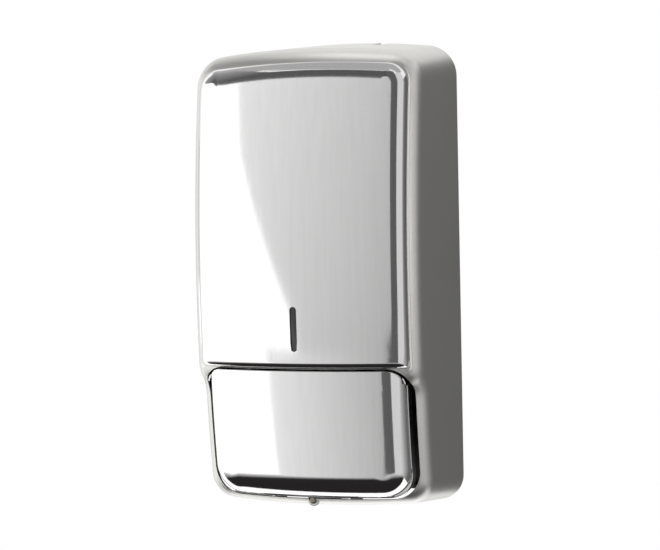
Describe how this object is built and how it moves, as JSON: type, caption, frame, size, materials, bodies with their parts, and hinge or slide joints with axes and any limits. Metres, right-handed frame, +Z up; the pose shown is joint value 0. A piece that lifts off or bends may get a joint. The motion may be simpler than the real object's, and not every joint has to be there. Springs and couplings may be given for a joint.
{
  "type": "soap dispenser",
  "caption": "Wall mounted liquid soap dispenser: bowed steel cover with a raised front panel, a sight slot and a hinged push plate that works a plunger pump under a refillable tank.",
  "frame": {"origin": "centre of the four wall screw holes, on the wall plane, at mid height", "axes": "+X to the right seen from the front, +Y into the wall, +Z up"},
  "size_m": [0.1234, 0.096, 0.2495],
  "materials": {
    "satin_steel": "satin",
    "polished_steel": "polished, faint upright grain",
    "plain_steel": "zinc plated",
    "spring_steel": "bright drawn",
    "pin_brass": "satin",
    "black_plastic": "moulded",
    "pump_plastic": "moulded",
    "tank_plastic": "translucent moulded",
    "smoked_window": "clear, smoked",
    "seal_rubber": "moulded"
  },
  "bodies": {
    "wall_unit": {"cover_hinge_pin": "plain_steel", "bracket_screws": "plain_steel", "pump_screws": "plain_steel", "lid_pin": "plain_steel", "plunger_spring": "spring_steel", "latch_spring": "spring_steel", "back_plate": "black_plastic", "pump_bracket": "black_plastic", "tank_nut": "black_plastic", "pump_gland": "black_plastic", "pump_end_cap": "black_plastic", "pump_body": "pump_plastic", "nozzle": "pump_plastic", "soap_tank": "tank_plastic", "tank_seal": "seal_rubber", "gland_seal": "seal_rubber", "inlet_valve": "seal_rubber", "outlet_valve": "seal_rubber"},
    "cover": {"body_shell": "satin_steel", "front_panel": "polished_steel", "panel_nuts": "plain_steel", "level_window": "smoked_window", "pivot_brackets": "plain_steel", "pivot_pin": "plain_steel", "pivot_clips": "plain_steel", "hinge_leaf": "plain_steel", "release_bracket": "plain_steel"},
    "push_plate": {"push_plate": "polished_steel", "push_carrier": "black_plastic", "carrier_nuts": "plain_steel"},
    "plunger": {"plunger": "pump_plastic", "plunger_seal": "seal_rubber"},
    "tank_lid": {"tank_lid": "tank_plastic", "lid_seal": "seal_rubber"},
    "release_pin": {"release_pin": "pin_brass", "release_clip": "plain_steel"}
  },
  "joints": [
    {"name": "cover_hinge", "type": "hinge", "parent": "wall_unit", "child": "cover", "pos_m": [0, -0.014, 0.1193], "axis": [-1, 0, 0], "range_deg": [0, 95], "deforming": ["latch_spring"]},
    {"name": "push_hinge", "type": "hinge", "parent": "cover", "child": "push_plate", "pos_m": [0, -0.07713, -0.053], "axis": [1, 0, 0], "range_deg": [0, 9.5], "stiffness_Nm_per_rad": 2.4, "springref_deg": -6.88},
    {"name": "plunger_slide", "type": "slide", "parent": "wall_unit", "child": "plunger", "axis": [0, 1, 0], "range_m": [0, 0.0068], "deforming": ["plunger_spring"]},
    {"name": "lid_hinge", "type": "hinge", "parent": "wall_unit", "child": "tank_lid", "pos_m": [0, -0.018, 0.0808], "axis": [-1, 0, 0], "range_deg": [0, 95]},
    {"name": "release_slide", "type": "slide", "parent": "cover", "child": "release_pin", "axis": [0, 1, 0], "range_m": [0, 0.002], "stiffness_N_per_m": 800, "springref_m": -0.002, "deforming": ["latch_spring"]}
  ],
  "couplings": [
    {"joint": "plunger_slide", "follows": "push_hinge", "m_per_rad": 0.041}
  ]
}
